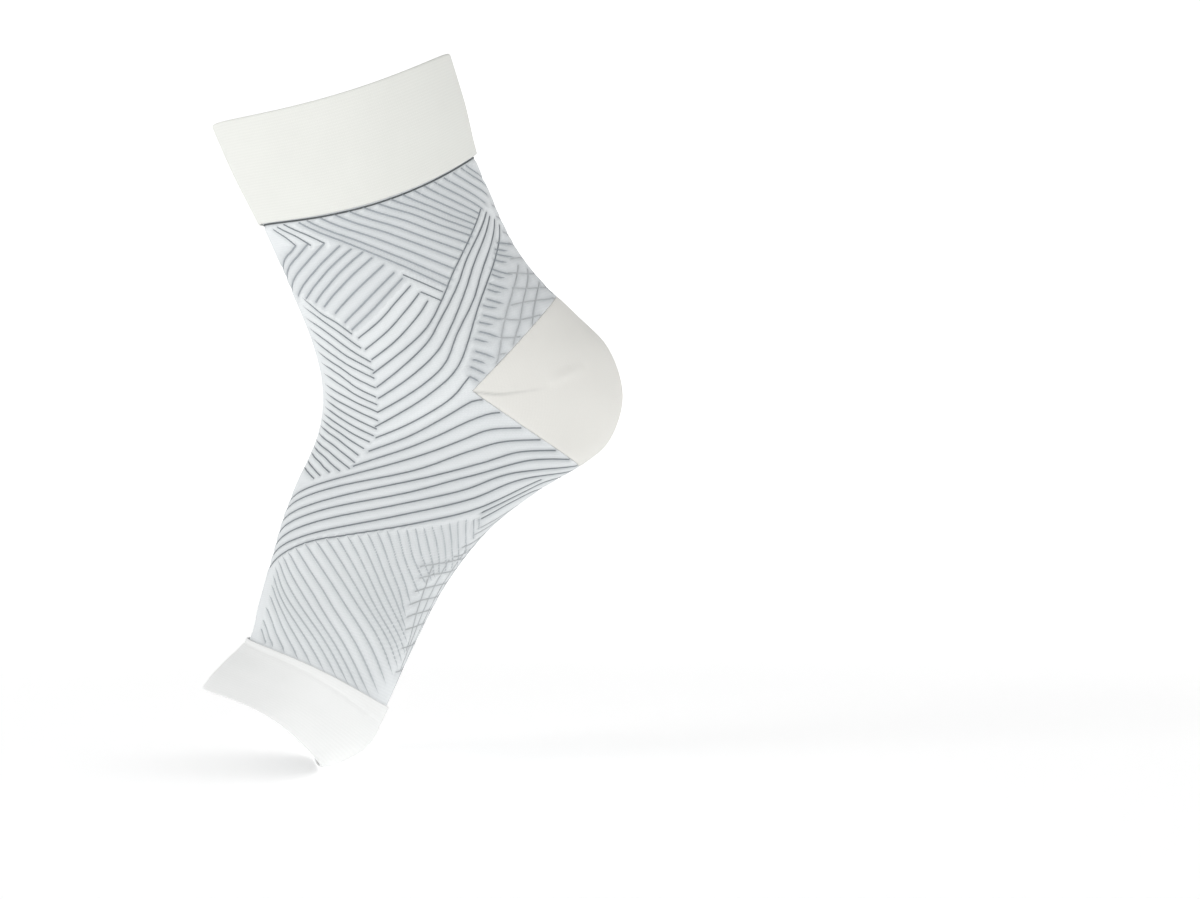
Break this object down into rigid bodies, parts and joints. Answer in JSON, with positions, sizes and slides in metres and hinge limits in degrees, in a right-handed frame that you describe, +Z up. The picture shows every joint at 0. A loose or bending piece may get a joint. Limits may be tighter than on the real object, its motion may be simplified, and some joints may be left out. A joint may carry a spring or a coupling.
{
  "type": "ankle compression sleeve",
  "caption": "Open-toe knitted ankle compression sleeve in its worn shape, with a turned leg cuff, a ribbed body, a heel pocket and a turned band round the forefoot.",
  "frame": {"origin": "middle of the ankle, inside the sleeve, where a foot sits", "axes": "+Z up, as worn with the heel lifted; +X towards the heel, -X towards the toes; Y across the foot"},
  "size_m": [0.149, 0.0962, 0.2514],
  "materials": {
    "cuff_knit": "matte fine jersey, off-white",
    "body_knit": "matte ribbed knit, pale blue-grey",
    "heel_knit": "matte plain knit, off-white",
    "toe_knit": "matte fine jersey, white"
  },
  "bodies": {
    "root": {"top_cuff": "cuff_knit", "ankle_body": "body_knit", "heel_cup": "heel_knit", "toe_band": "toe_knit"}
  },
  "joints": []
}
